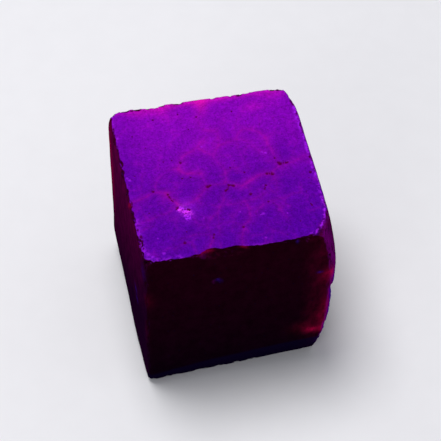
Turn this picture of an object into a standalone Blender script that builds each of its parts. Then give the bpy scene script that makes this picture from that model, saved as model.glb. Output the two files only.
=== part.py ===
"""Ruby cube: one block of massive ruby, sawn and ground on six sides, with worn and chipped edges.

Frame: +X runs to the right along the front face, +Y to the back and +Z up. The origin is the centre of
the underside, which the block stands on. Lengths are metres.

The skin is worked out as a reach: how far it lies from the block's heart along each direction. The
ground planes meet in a soft minimum, which rounds the edges between them. A chip is a ball that bites
into the skin: where a ray from the heart meets the ball first, the ball is the skin. The crater and
the pits, which are too small for that grid, are cut out afterwards. All of this is placed from the
middle of the width and depth, and the finished block is then moved so that its box is centred.
"""

import bpy
import bmesh
import numpy as np
from mathutils import Euler, Matrix, Vector

MM = 0.001

# Driving dimensions
WIDTH = 25.5 * MM  # left face to right face, low on the block
DEPTH = 26.5 * MM  # front face to back face, half-way up
HEIGHT = 27.0 * MM  # underside to ground top
RIM_SOFTNESS = 110.0  # exponent of the soft minimum round the top and the foot: higher is sharper
CORNER_SOFTNESS = 50.0  # the same where two side planes meet
CHIP_BLEND = 0.15 * MM  # how far the lip of a chip is worn back
WAVE_HEIGHT = 0.05 * MM  # how far the hand-ground sides swell and dip
WAVE_STEP = 2.0 * MM  # one radian of the swell
GRID_CUTS = 23  # cuts across each face of the starting cube
GRID_CROWDING = 0.6  # 0 spaces the grid evenly, 1 crowds it towards the edges

HEART = np.array((0.0, 0.0, HEIGHT / 2))
RIGHT, BACK, TOP = WIDTH / 2, DEPTH / 2, HEIGHT
LEFT, FRONT = -RIGHT, -BACK

# The right face leans out from the rim down to a ridge, and in again below it, faster from the shin down.
RIM = RIGHT + 0.2 * MM
RIDGE = RIGHT + 1.15 * MM
RIDGE_HEIGHT = 21.5 * MM
SHIN = RIGHT + 0.65 * MM
SHIN_HEIGHT = 10.5 * MM


def plane(*points):
    """The plane through three points, as its unit normal, away from the heart, and its distance from it."""
    a, b, c = (np.array(point) for point in points)
    normal = np.cross(b - a, c - a)
    normal /= np.linalg.norm(normal)
    distance = normal @ (a - HEART)
    return np.sign(distance) * normal, abs(distance)


def upright(point_a, point_b):
    """A plane that stands on the line between two points of the plan."""
    return plane((*point_a, 0.0), (*point_b, 0.0), (*point_a, HEIGHT))


# Side planes: the four faces, with the right one in three parts, and the cuts across the upright edges.
# The back face leans in towards the foot.
SIDE_PLANES = (
    upright((LEFT, FRONT), (LEFT, BACK)),
    upright((LEFT, FRONT), (RIGHT, FRONT)),
    plane((LEFT, BACK + 0.35 * MM, TOP), (RIGHT, BACK + 0.15 * MM, TOP), (LEFT, BACK - 0.45 * MM, 0.0)),
    plane((RIM, FRONT, TOP), (RIM, BACK, TOP), (RIDGE, BACK, RIDGE_HEIGHT)),
    plane((RIDGE, FRONT, RIDGE_HEIGHT), (RIDGE, BACK, RIDGE_HEIGHT), (SHIN, BACK, SHIN_HEIGHT)),
    plane((SHIN, FRONT, SHIN_HEIGHT), (SHIN, BACK, SHIN_HEIGHT), (RIGHT - 0.3 * MM, BACK, 4.0 * MM)),
    upright((LEFT - 0.1 * MM, FRONT + 4.0 * MM), (LEFT + 0.3 * MM, FRONT)),
    upright((LEFT, BACK - 0.8 * MM), (LEFT + 1.5 * MM, BACK + 0.4 * MM)),
    upright((RIM, BACK - 2.7 * MM), (RIGHT - 0.8 * MM, BACK + 0.15 * MM)),
    upright((RIGHT + 0.05 * MM, FRONT), (RIDGE + 0.1 * MM, FRONT + 1.1 * MM)),
    plane((SHIN, FRONT, SHIN_HEIGHT), (RIGHT, FRONT + 9.0 * MM, 2.0 * MM), (RIGHT - 1.6 * MM, FRONT, 0.0)),
)
# Level planes and foot bevels. The bevel under the front face widens to the right.
LEVEL_PLANES = (
    plane((LEFT, FRONT, TOP), (RIGHT, FRONT, TOP), (RIGHT, BACK, TOP)),
    plane((LEFT, FRONT, 0.0), (RIGHT, FRONT, 0.0), (RIGHT, BACK, 0.0)),
    plane((LEFT, FRONT, 1.5 * MM), (RIGHT, FRONT, 5.2 * MM), (LEFT, FRONT + 0.5 * MM, 0.0)),
    plane((LEFT, FRONT, 1.0 * MM), (LEFT, BACK, 4.0 * MM), (LEFT + 0.6 * MM, FRONT, 0.0)),
    plane((LEFT, BACK, 1.8 * MM), (RIGHT, BACK, 0.9 * MM), (RIGHT, BACK - 0.6 * MM, 0.0)),
)
# Worn rims: the bevel along the left rim, the break at the front left corner of the top, and the steep
# and the flat break at its front right corner
WORN_PLANES = (
    plane((LEFT + 0.4 * MM, FRONT, TOP), (LEFT + 0.4 * MM, BACK, TOP), (LEFT, BACK, TOP - 0.7 * MM)),
    plane(
        (LEFT, FRONT + 1.3 * MM, TOP),
        (LEFT + 1.6 * MM, FRONT, TOP),
        (LEFT + 0.1 * MM, FRONT, TOP - 2.2 * MM),
    ),
    plane(
        (RIGHT - 1.35 * MM, FRONT, TOP),
        (RIGHT - 0.3 * MM, FRONT, TOP - 4.5 * MM),
        (RIM, FRONT + 4.0 * MM, TOP),
    ),
    plane(
        (RIGHT - 2.8 * MM, FRONT + 0.55 * MM, TOP),
        (RIGHT - 0.95 * MM, FRONT + 3.3 * MM, TOP),
        (RIGHT - 1.3 * MM, FRONT, TOP - 0.5 * MM),
    ),
)

# Chips: the skin point that the ball bites, the way the ball lies from it, its radius and its depth
CHIPS = (
    ((RIDGE, FRONT + 2.0 * MM, 14.0 * MM), (1.0, -0.3, 0.0), 3.5 * MM, 0.85 * MM),
    ((RIDGE, 4.0 * MM, 12.0 * MM), (1.0, 0.2, 0.1), 9.0 * MM, 0.5 * MM),
    ((-1.2 * MM, FRONT, TOP), (0.0, -1.0, 0.4), 13.0 * MM, 0.6 * MM),
    ((-3.4 * MM, FRONT, TOP), (0.0, -1.0, 0.4), 3.0 * MM, 0.75 * MM),
    ((9.3 * MM, FRONT, TOP), (0.0, -1.0, 0.3), 9.0 * MM, 0.45 * MM),
    ((-6.8 * MM, BACK + 0.4 * MM, TOP), (0.0, 1.0, 0.4), 5.0 * MM, 0.4 * MM),
    ((5.0 * MM, BACK, 9.0 * MM), (0.1, 1.0, 0.0), 12.0 * MM, 0.35 * MM),
)

# Hollows: the point on the skin, the half sizes of the egg-shaped cutter and its turn
CRATER = (
    ((-5.85 * MM, -5.6 * MM, TOP), (1.25 * MM, 0.8 * MM, 0.75 * MM), (0.0, 0.0, -0.75)),
    ((-5.5 * MM, -6.6 * MM, TOP), (0.85 * MM, 0.55 * MM, 0.45 * MM), (0.0, 0.0, -1.4)),
)
FRONT_DENT = ((-2.6 * MM, FRONT, 21.0 * MM), (0.9 * MM, 0.3 * MM, 0.5 * MM), (0.0, 0.35, 0.0))
# Pits in the top where grains fell out: centre in plan, and half the width along X
PIT_SHAPE = (1.0, 0.7, 0.9)
PITS = (
    (8.45 * MM, -0.05 * MM, 0.45 * MM),
    (9.4 * MM, 0.0, 0.3 * MM),
    (7.05 * MM, -1.6 * MM, 0.4 * MM),
    (6.3 * MM, -1.35 * MM, 0.3 * MM),
    (-1.8 * MM, -2.05 * MM, 0.45 * MM),
    (0.95 * MM, -2.35 * MM, 0.3 * MM),
    (1.65 * MM, -2.6 * MM, 0.3 * MM),
    (3.5 * MM, -4.45 * MM, 0.3 * MM),
    (-7.2 * MM, -2.4 * MM, 0.3 * MM),
    (-9.0 * MM, -1.45 * MM, 0.25 * MM),
)


def soft_minimum(distances, softness):
    """The least of several reaches, rounded off where two are nearly equal: a norm of their inverses."""
    return np.sum(distances**-softness, axis=0) ** (-1.0 / softness)


def plane_reaches(directions, planes):
    """How far each direction runs from the heart before it meets each plane."""
    facing = np.array([np.maximum(directions @ normal, 1e-6) for normal, _ in planes])
    return np.array([[distance] for _, distance in planes]) / facing


def bitten(reach, directions, chip):
    """The reach with one ball taken out: the nearer crossing of ray and ball, blended into the skin."""
    point, outward, radius, depth = chip
    outward = np.array(outward) / np.linalg.norm(outward)
    centre = np.array(point) + outward * (radius - depth) - HEART
    along = directions @ centre
    discriminant = along**2 - centre @ centre + radius**2
    meets = (discriminant > 0.0) & (along > 0.0)
    entry = np.where(meets, along - np.sqrt(np.abs(discriminant)), np.inf)
    overlap = np.maximum(CHIP_BLEND - np.abs(reach - entry), 0.0)
    return np.minimum(reach, entry) - overlap**2 / (4.0 * CHIP_BLEND)


def swell(points):
    """A slow swell of the ground faces: the mean of three crossing sine waves."""
    waves = (((0.9, 0.5, 0.7), 0.4), ((-0.4, 1.1, 0.5), 2.1), ((0.6, -0.7, 1.2), 4.0))
    heights = [np.sin(points @ np.array(wave) / WAVE_STEP + phase) for wave, phase in waves]
    return WAVE_HEIGHT * np.mean(heights, axis=0)


def skin(directions):
    """Points of the skin, one along each unit direction from the heart."""
    sides = soft_minimum(plane_reaches(directions, SIDE_PLANES), CORNER_SOFTNESS)
    sides += swell(directions * sides[:, None])
    levels = plane_reaches(directions, (*LEVEL_PLANES, *WORN_PLANES))
    reach = soft_minimum(np.vstack((sides, levels)), RIM_SOFTNESS)
    for chip in CHIPS:
        reach = bitten(reach, directions, chip)
    return HEART + directions * reach[:, None]


def block_mesh():
    """A finely cut cube, its grid crowded towards the edges, with every corner moved onto the skin.

    It is given back with the shift that centred its box over the origin.
    """
    block = bmesh.new()
    bmesh.ops.create_cube(block, size=2.0)
    bmesh.ops.subdivide_edges(block, edges=block.edges, cuts=GRID_CUTS, use_grid_fill=True)
    mesh = bpy.data.meshes.new("ruby_cube")
    block.to_mesh(mesh)
    block.free()
    corners = np.empty(len(mesh.vertices) * 3)
    mesh.vertices.foreach_get("co", corners)
    grid = corners.reshape(-1, 3)
    grid += GRID_CROWDING * (np.sin(grid * np.pi / 2) - grid)
    rays = grid * (WIDTH, DEPTH, HEIGHT)
    points = skin(rays / np.linalg.norm(rays, axis=1)[:, None])
    low, high = points.min(axis=0), points.max(axis=0)
    shift = -np.array(((low[0] + high[0]) / 2, (low[1] + high[1]) / 2, low[2]))
    mesh.vertices.foreach_set("co", (points + shift).ravel())
    mesh.update()
    return mesh, shift


def ruby():
    """Massive ruby: deep violet-red, hardly polished."""
    material = bpy.data.materials.new("ruby")
    material.use_nodes = True
    surface = material.node_tree.nodes["Principled BSDF"]
    surface.inputs["Base Color"].default_value = (0.13, 0.002, 0.10, 1.0)
    surface.inputs["Roughness"].default_value = 0.45
    surface.inputs["Metallic"].default_value = 0.0
    return material


def new_collection(name):
    collection = bpy.data.collections.new(name)
    bpy.context.scene.collection.children.link(collection)
    return collection


def hollow_cutter(name, hollow, shift, collection):
    """An egg-shaped cutter, from a round one stretched and turned where it is made."""
    place, half_sizes, turn = hollow
    form = Matrix.LocRotScale(Vector(place) + Vector(shift), Euler(turn), Vector(half_sizes))
    egg = bmesh.new()
    bmesh.ops.create_icosphere(egg, subdivisions=2, radius=1.0, matrix=form)
    mesh = bpy.data.meshes.new(name)
    egg.to_mesh(mesh)
    egg.free()
    cutter = bpy.data.objects.new(name, mesh)
    cutter.hide_render = True
    cutter.display_type = "WIRE"
    collection.objects.link(cutter)
    return cutter


def cut(block, cutter):
    boolean = block.modifiers.new(cutter.name, "BOOLEAN")
    boolean.operation = "DIFFERENCE"
    boolean.solver = "EXACT"
    boolean.object = cutter


def main():
    for old in list(bpy.data.objects):
        bpy.data.objects.remove(old)
    mesh, shift = block_mesh()
    block = bpy.data.objects.new("ruby_cube", mesh)
    block.data.materials.append(ruby())
    new_collection("ruby cube").objects.link(block)

    cutters = new_collection("cutters")
    for number, hollow in enumerate((*CRATER, FRONT_DENT), start=1):
        cut(block, hollow_cutter(f"hollow_{number}", hollow, shift, cutters))
    for number, (x, y, half_width) in enumerate(PITS, start=1):
        pit = ((x, y, TOP), tuple(share * half_width for share in PIT_SHAPE), (0.0, 0.0, 0.0))
        cut(block, hollow_cutter(f"pit_{number}", pit, shift, cutters))

    block.data.shade_smooth()
    block.data.set_sharp_from_angle(angle=np.radians(40.0))


main()
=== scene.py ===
"""The looks of a ruby cube: the fine surface of the block, its colours, and a studio to see it in.

The block is one skin, worked out as the construction model works it out: for every direction from the
block's heart, a formula says how far the skin lies. The ground planes meet in a soft minimum, and balls
bite chips out of the edges. On top of that comes relief along the skin's normals: lumps and small chips
on the sawn sides, and pits and a bruise in the ground top. The colours follow attributes that are worked
out with the same numpy arrays, such as how far a point lies from the nearest vein.

The file is laid out as an add-on and is run as a script. Lengths are metres, +Z is up.
"""

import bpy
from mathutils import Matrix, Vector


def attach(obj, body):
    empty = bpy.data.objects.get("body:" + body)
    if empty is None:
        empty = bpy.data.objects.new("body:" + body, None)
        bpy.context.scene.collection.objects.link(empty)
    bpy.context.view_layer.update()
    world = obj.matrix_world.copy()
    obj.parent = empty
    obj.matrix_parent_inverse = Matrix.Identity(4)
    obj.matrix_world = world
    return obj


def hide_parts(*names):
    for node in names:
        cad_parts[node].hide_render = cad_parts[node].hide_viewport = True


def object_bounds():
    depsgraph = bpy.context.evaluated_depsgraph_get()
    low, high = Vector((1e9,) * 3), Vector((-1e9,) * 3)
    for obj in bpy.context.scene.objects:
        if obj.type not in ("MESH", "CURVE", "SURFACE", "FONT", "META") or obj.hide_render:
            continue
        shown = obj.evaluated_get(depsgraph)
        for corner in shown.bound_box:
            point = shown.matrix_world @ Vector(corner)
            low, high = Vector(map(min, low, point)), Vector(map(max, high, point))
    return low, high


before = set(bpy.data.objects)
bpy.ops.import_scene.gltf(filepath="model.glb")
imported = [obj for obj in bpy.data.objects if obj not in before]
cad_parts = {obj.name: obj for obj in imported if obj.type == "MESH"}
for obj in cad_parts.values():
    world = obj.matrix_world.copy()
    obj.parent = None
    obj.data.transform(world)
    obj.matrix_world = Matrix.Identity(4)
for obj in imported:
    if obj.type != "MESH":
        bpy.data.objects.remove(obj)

from types import SimpleNamespace

import bpy
import numpy as np
from bpy.props import FloatProperty, FloatVectorProperty, IntProperty, PointerProperty
from mathutils import Matrix, Vector

bl_info = {
    "name": "Ruby cube",
    "version": (1, 0, 0),
    "blender": (4, 5, 0),
    "location": "3D View > Sidebar > Ruby",
    "description": "Makes the surface and colours of a block of massive ruby, and a plain studio round it",
    "category": "Object",
}

MM = 0.001
NODE = "ruby_cube"
CAD_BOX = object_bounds()
BOX_LOW, BOX_HIGH = (np.array(corner) for corner in CAD_BOX)


# --------------------------------------------------
# The block's planes and chips, as in the construction model. Plan places are from the top's centre.

WIDTH, DEPTH, HEIGHT = 25.5 * MM, 26.5 * MM, float(BOX_HIGH[2] - BOX_LOW[2])
# How sharply the planes meet at the rims and at the upright edges: the greater, the sharper
RIM_SOFTNESS = 110.0
CORNER_SOFTNESS = 50.0
# How softly chips and nicks run into the skin
CHIP_BLEND = 0.15 * MM
NICK_BLEND = 0.03 * MM
# Nicks: radii in millimetres, the least draw for a depth, which is squared, and the scatter of places
NICK_RADII, LEAST_NICK, NICK_SCATTER = (0.3, 1.0), 0.15, 0.008
# Heights of the swell, of the grit, and of grit and lumps on the ground top
WAVE_HEIGHT, WAVE_STEP = 0.05 * MM, 2.0 * MM
GRIT_HEIGHT, TOP_GRIT_HEIGHT, TOP_LUMP_HEIGHT = 0.016 * MM, 0.004 * MM, 0.012 * MM

HEART = np.array((0.0, 0.0, HEIGHT / 2))
RIGHT, BACK, TOP = WIDTH / 2, DEPTH / 2, HEIGHT
LEFT, FRONT = -RIGHT, -BACK
RIM = RIGHT + 0.2 * MM
RIDGE = RIGHT + 1.15 * MM
RIDGE_HEIGHT = 21.5 * MM
SHIN = RIGHT + 0.65 * MM
SHIN_HEIGHT = 10.5 * MM


def plane(*points):
    """The plane through three points, as its unit normal, away from the heart, and its distance from it."""
    a, b, c = (np.array(point) for point in points)
    normal = np.cross(b - a, c - a)
    normal /= np.linalg.norm(normal)
    distance = normal @ (a - HEART)
    return np.sign(distance) * normal, abs(distance)


def upright(point_a, point_b):
    """A plane that stands on the line between two points of the plan."""
    return plane((*point_a, 0.0), (*point_b, 0.0), (*point_a, HEIGHT))


# The right face from the rim out to a ridge and in again, as places and heights
RIGHT_PROFILE = ((RIM, TOP), (RIDGE, RIDGE_HEIGHT), (SHIN, SHIN_HEIGHT), (RIGHT - 0.3 * MM, 4.0 * MM))
SIDE_PLANES = (
    upright((LEFT, FRONT), (LEFT, BACK)),
    upright((LEFT, FRONT), (RIGHT, FRONT)),
    plane((LEFT, BACK + 0.35 * MM, TOP), (RIGHT, BACK + 0.15 * MM, TOP), (LEFT, BACK - 0.45 * MM, 0.0)),
    *(
        plane((x, FRONT, z), (x, BACK, z), (lower_x, BACK, lower_z))
        for (x, z), (lower_x, lower_z) in zip(RIGHT_PROFILE[:-1], RIGHT_PROFILE[1:])
    ),
    upright((LEFT - 0.1 * MM, FRONT + 4.0 * MM), (LEFT + 0.3 * MM, FRONT)),
    upright((LEFT, BACK - 0.8 * MM), (LEFT + 1.5 * MM, BACK + 0.4 * MM)),
    upright((RIM, BACK - 2.7 * MM), (RIGHT - 0.8 * MM, BACK + 0.15 * MM)),
    upright((RIGHT + 0.05 * MM, FRONT), (RIDGE + 0.1 * MM, FRONT + 1.1 * MM)),
    plane((SHIN, FRONT, SHIN_HEIGHT), (RIGHT, FRONT + 9.0 * MM, 2.0 * MM), (RIGHT - 1.6 * MM, FRONT, 0.0)),
)
LEVEL_PLANES = (
    plane((LEFT, FRONT, TOP), (RIGHT, FRONT, TOP), (RIGHT, BACK, TOP)),
    plane((LEFT, FRONT, 0.0), (RIGHT, FRONT, 0.0), (RIGHT, BACK, 0.0)),
    plane((LEFT, FRONT, 1.5 * MM), (RIGHT, FRONT, 5.2 * MM), (LEFT, FRONT + 0.5 * MM, 0.0)),
    plane((LEFT, FRONT, 1.0 * MM), (LEFT, BACK, 4.0 * MM), (LEFT + 0.6 * MM, FRONT, 0.0)),
    plane((LEFT, BACK, 1.8 * MM), (RIGHT, BACK, 0.9 * MM), (RIGHT, BACK - 0.6 * MM, 0.0)),
)
# The bevel along the left rim, the break at the front left corner of the top, and the steep and the flat
# break at its front right corner
WORN_PLANES = (
    plane((LEFT + 0.4 * MM, FRONT, TOP), (LEFT + 0.4 * MM, BACK, TOP), (LEFT, BACK, TOP - 0.7 * MM)),
    plane(
        (LEFT, FRONT + 1.3 * MM, TOP),
        (LEFT + 1.6 * MM, FRONT, TOP),
        (LEFT + 0.1 * MM, FRONT, TOP - 2.2 * MM),
    ),
    plane(
        (RIGHT - 1.35 * MM, FRONT, TOP),
        (RIGHT - 0.3 * MM, FRONT, TOP - 4.5 * MM),
        (RIM, FRONT + 4.0 * MM, TOP),
    ),
    plane(
        (RIGHT - 2.8 * MM, FRONT + 0.55 * MM, TOP),
        (RIGHT - 0.95 * MM, FRONT + 3.3 * MM, TOP),
        (RIGHT - 1.3 * MM, FRONT, TOP - 0.5 * MM),
    ),
)
# A chip is the skin point that a ball bites, the way the ball lies from it, its radius and its depth.
CHIPS = (
    ((RIDGE, FRONT + 2.0 * MM, 14.0 * MM), (1.0, -0.3, 0.0), 3.5 * MM, 0.85 * MM),
    ((RIDGE, 4.0 * MM, 12.0 * MM), (1.0, 0.2, 0.1), 9.0 * MM, 0.5 * MM),
    ((-1.2 * MM, FRONT, TOP), (0.0, -1.0, 0.4), 13.0 * MM, 0.6 * MM),
    ((-3.4 * MM, FRONT, TOP), (0.0, -1.0, 0.4), 3.0 * MM, 0.75 * MM),
    ((9.3 * MM, FRONT, TOP), (0.0, -1.0, 0.3), 9.0 * MM, 0.45 * MM),
    ((-6.8 * MM, BACK + 0.4 * MM, TOP), (0.0, 1.0, 0.4), 5.0 * MM, 0.4 * MM),
    ((5.0 * MM, BACK, 9.0 * MM), (0.1, 1.0, 0.0), 12.0 * MM, 0.35 * MM),
)
# The dent high in the front face: its middle, half sizes and depth
FRONT_DENT = ((-2.6 * MM, FRONT, 21.0 * MM), (0.9 * MM, 0.5 * MM, 0.5 * MM), 0.3 * MM)


# --------------------------------------------------
# Marks of the ground top, in millimetres in plan: x to the right, y to the back.

# The bruise: a crushed hollow, as centre, half sizes along and across, turn in degrees and depth
BRUISE = (
    ((-5.75, -5.45), (1.3, 0.75), -43.0, 0.2),
    ((-5.5, -6.4), (1.0, 0.55), -80.0, 0.08),
)
# Its brightest places, as painted highlights: centre, half sizes and strength; and its dark holes, as centre
# and half width
BRUISE_LIGHTS = (
    ((-6.1, -5.2), (0.27, 0.24), 1.5),
    ((-5.3, -5.7), (0.34, 0.24), 1.5),
    ((-5.7, -5.6), (0.3, 0.2), 0.5),
    ((-5.5, -6.2), (0.5, 0.18), 0.45),
    ((-4.95, -6.15), (0.22, 0.25), 0.5),
)
BRUISE_SPOTS = (
    (-6.45, -4.8, 0.16), (-6.3, -4.6, 0.14), (-6.6, -5.0, 0.1), (-5.8, -5.2, 0.1), (-5.5, -5.2, 0.08),
    (-5.15, -5.25, 0.12), (-4.9, -5.45, 0.14), (-5.7, -5.95, 0.1), (-5.45, -5.9, 0.08), (-6.9, -3.4, 0.12),
    (-6.75, -3.7, 0.08),
)
# The painted glow in the stone round it
BRUISE_HALO = (
    ((-5.4, -4.2), (0.8, 0.9), 0.5),
    ((-5.3, -5.5), (1.4, 1.3), 0.85),
    ((-5.5, -7.0), (0.5, 0.6), 0.4),
)

# Pits where grains fell out: centre and half width
PITS = (
    (8.5, -0.05, 0.3), (8.3, 0.2, 0.18), (9.3, -0.05, 0.18), (9.6, 0.0, 0.1), (7.1, -1.6, 0.26),
    (6.4, -1.4, 0.22), (8.0, 1.05, 0.16), (-1.8, -2.05, 0.27), (-1.4, -1.95, 0.18), (1.0, -2.35, 0.2),
    (1.6, -2.6, 0.22), (1.35, -2.45, 0.14), (0.4, -3.2, 0.2), (0.7, -3.0, 0.14), (3.5, -4.45, 0.22),
    (5.8, -3.35, 0.17), (5.5, -3.95, 0.13), (5.5, -6.15, 0.15), (-9.0, -1.45, 0.2), (-7.2, -2.35, 0.18),
    (-7.1, -2.9, 0.14), (-4.5, 2.75, 0.2), (-5.6, 3.35, 0.13), (-6.7, 3.35, 0.14), (-4.8, 0.0, 0.13),
    (-3.7, 0.0, 0.14), (-10.9, 1.65, 0.13), (-12.0, -8.6, 0.24), (-6.6, -10.75, 0.22), (12.1, -2.3, 0.2),
    (-0.8, 10.4, 0.15), (-3.2, 11.3, 0.12), (-6.7, 11.0, 0.14), (4.1, 10.4, 0.12), (-10.0, 8.6, 0.1),
    (1.8, 0.55, 0.14), (3.5, -0.55, 0.15), (11.0, -7.9, 0.14), (-2.6, -10.15, 0.14), (-2.8, -10.7, 0.16),
    (1.4, -9.7, 0.18), (-12.35, -2.9, 0.3), (-12.3, -3.4, 0.2), (12.1, -11.2, 0.2), (-11.95, -9.3, 0.14),
    (-12.0, -10.6, 0.12), (-12.2, -7.4, 0.12), (10.9, -7.6, 0.1), (-2.3, 8.4, 0.1), (-8.6, 6.2, 0.1),
    (5.6, 8.3, 0.1), (2.6, 1.6, 0.1), (-6.0, -9.0, 0.1), (8.9, -10.2, 0.1), (-10.2, -5.0, 0.1),
)
PIT_DEPTH = 0.16
# Painted highlights: lilac flecks, where a crystal face just under the surface throws the light back: centre
# and half width
GLINT_FLECKS = (
    (-11.7, 1.05, 0.2), (-12.0, 1.5, 0.12), (-1.2, 4.95, 0.17), (7.0, 2.15, 0.2), (6.5, 2.4, 0.13),
    (4.4, -8.05, 0.2), (-9.6, -11.95, 0.22), (-12.0, 8.65, 0.2), (1.5, -7.15, 0.13), (-11.6, -11.7, 0.26),
    (-11.1, -12.2, 0.2), (-12.0, -11.2, 0.2), (-9.9, -9.4, 0.12), (-12.1, 11.3, 0.16), (3.9, -12.0, 0.16),
    (4.0, -8.2, 0.13), (-8.0, 5.4, 0.1), (9.9, 7.0, 0.1), (-3.4, -7.2, 0.1), (7.5, -8.6, 0.12),
)
# Painted highlights: bright lines where the ground top ends: strength, half width, then the points along the
# line
RIM_LINES = (
    (1.0, 0.2, ((9.8, -12.6), (10.4, -12.25), (11.05, -11.8), (11.65, -11.0), (12.1, -10.0),
               (12.45, -8.7))),
    (0.9, 0.26, ((12.45, -8.7), (12.6, -7.4), (12.65, -6.2))),
    (0.85, 0.24, ((12.65, -6.2), (12.7, -3.0), (12.7, 2.0), (12.65, 6.0), (12.5, 9.5))),
    (0.3, 0.2, ((-12.1, 12.0), (-12.3, 11.0), (-12.3, 6.0))),
    (0.15, 0.2, ((-12.3, 6.0), (-12.3, -6.0))),
    (0.42, 0.45, ((-12.1, -6.0), (-12.1, -11.0), (-11.8, -12.2), (-11.0, -12.8), (-9.4, -13.0),
                  (-7.6, -13.1))),
    (0.3, 0.2, ((1.0, -12.8), (4.0, -13.2), (8.8, -13.0))),
)
# The depth and width of the veins' furrows, the reach of the glow beside them, and how far they wander
VEIN_DEPTH, VEIN_WIDTH, VEIN_HALO, WANDER = 0.02, 0.25, 0.8, 0.28
# The middle of the faintest vein counts as lying this far off, so it stays pale
FAINT_VEIN_GAP = 0.36
# Veins: strength, then the points along the vein
VEINS = (
    (0.6, ((-12.3, -2.9), (-11.0, -2.7), (-9.8, -2.0), (-8.7, -1.5), (-7.4, -2.1))),
    (0.9, ((-7.4, -2.1), (-7.2, -3.1), (-6.5, -3.9), (-6.2, -4.8), (-5.4, -5.7))),
    (0.3, ((-8.6, -1.4), (-8.5, -0.4), (-7.8, 0.8), (-6.4, 1.7), (-5.0, 1.7))),
    (0.9, ((-5.0, 1.7), (-4.2, 0.8), (-3.0, 0.6), (-2.3, 0.3))),
    (0.35, ((-2.3, 0.3), (-2.0, -1.0), (-2.0, -2.0))),
    (0.6, ((-5.0, 1.7), (-4.5, 2.8), (-3.9, 4.0), (-1.8, 4.8), (-1.2, 5.7), (-0.4, 6.5))),
    (0.6, ((-1.8, 4.8), (-0.9, 3.8), (0.0, 3.1), (1.0, 4.5), (1.4, 6.3), (1.3, 7.3), (-0.3, 7.8))),
    (0.45, ((0.0, 3.1), (0.2, 2.0), (1.0, 0.7), (1.0, -0.5), (0.5, -2.2))),
    (0.3, ((1.0, 0.1), (2.0, 0.4), (3.1, 0.6))),
    (0.35, ((-2.0, -2.0), (-1.2, -1.9), (0.2, -2.1), (0.6, -2.7), (1.8, -2.7))),
    (0.8, ((1.8, -2.7), (2.9, -2.9), (4.0, -2.0), (5.6, -1.3), (7.0, -1.5))),
    (0.5, ((7.0, -1.5), (8.0, -0.6), (8.5, -0.2), (9.5, -0.2), (10.6, 0.1), (12.0, 0.6))),
    (0.6, ((8.2, -0.3), (8.0, 1.0), (7.9, 1.8), (7.6, 3.4), (7.6, 4.8), (6.9, 6.0), (5.8, 6.8), (4.8, 6.9),
           (4.0, 6.1), (3.5, 5.3), (2.2, 5.0), (1.2, 4.7))),
    (0.4, ((3.5, 5.3), (5.0, 4.8), (5.5, 4.0), (6.3, 2.8), (7.2, 2.2))),
    (0.25, ((3.6, 5.2), (3.6, 3.3), (3.8, 1.3), (4.1, 0.0))),
    (0.7, ((-2.0, -2.0), (-2.6, -2.8), (-3.8, -4.0), (-5.0, -4.4), (-6.2, -4.6))),
    (0.35, ((-3.9, -4.0), (-3.2, -4.8))),
    (0.35, ((-12.0, -6.7), (-10.5, -6.1), (-9.0, -5.7), (-7.5, -5.2), (-6.3, -4.8))),
    (0.4, ((0.6, -2.8), (0.1, -3.7), (-0.4, -5.0), (-1.0, -6.0), (-2.0, -6.9), (-2.6, -7.6), (-3.2, -8.4),
           (-3.1, -9.5), (-2.9, -10.7), (-3.4, -11.6), (-3.8, -12.5))),
    (0.3, ((-3.2, -8.4), (-4.0, -8.5), (-4.6, -7.5), (-4.9, -6.5))),
    (0.3, ((-1.5, -6.8), (-1.7, -8.1), (-1.6, -9.2), (-2.0, -10.2))),
    (0.4, ((0.2, -5.6), (1.4, -5.7), (2.6, -5.5), (3.2, -5.6), (4.6, -5.1), (5.4, -4.6))),
    (0.5, ((2.6, -5.5), (2.9, -6.9), (2.8, -8.0), (2.4, -8.9), (1.4, -9.3), (1.4, -10.0), (0.9, -11.2),
           (0.7, -12.6))),
    (0.4, ((3.3, -7.8), (4.6, -6.6), (5.6, -6.2), (7.2, -5.9))),
    (0.35, ((7.2, -1.7), (7.3, -3.0), (7.1, -4.6))),
    (0.3, ((6.3, -6.4), (6.7, -7.8), (7.3, -9.4))),
    (0.2, ((2.9, -3.1), (3.5, -3.8), (3.4, -4.5))),
    (0.25, ((-1.5, -8.6), (0.0, -8.5), (1.3, -9.2))),
    (0.3, ((-7.0, -10.1), (-5.8, -9.8), (-4.6, -9.7), (-3.3, -10.1), (-2.8, -10.6))),
    (0.25, ((-8.2, -11.6), (-7.0, -10.9), (-6.2, -10.8))),
    (0.6, ((0.2, 12.7), (-0.2, 11.2), (-0.8, 10.1), (-0.7, 8.8))),
    (0.2, ((-0.3, 8.0), (1.2, 7.4), (2.2, 8.4), (3.0, 9.8))),
    (0.25, ((4.4, -10.2), (5.2, -11.2), (6.2, -11.8))),
)
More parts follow.
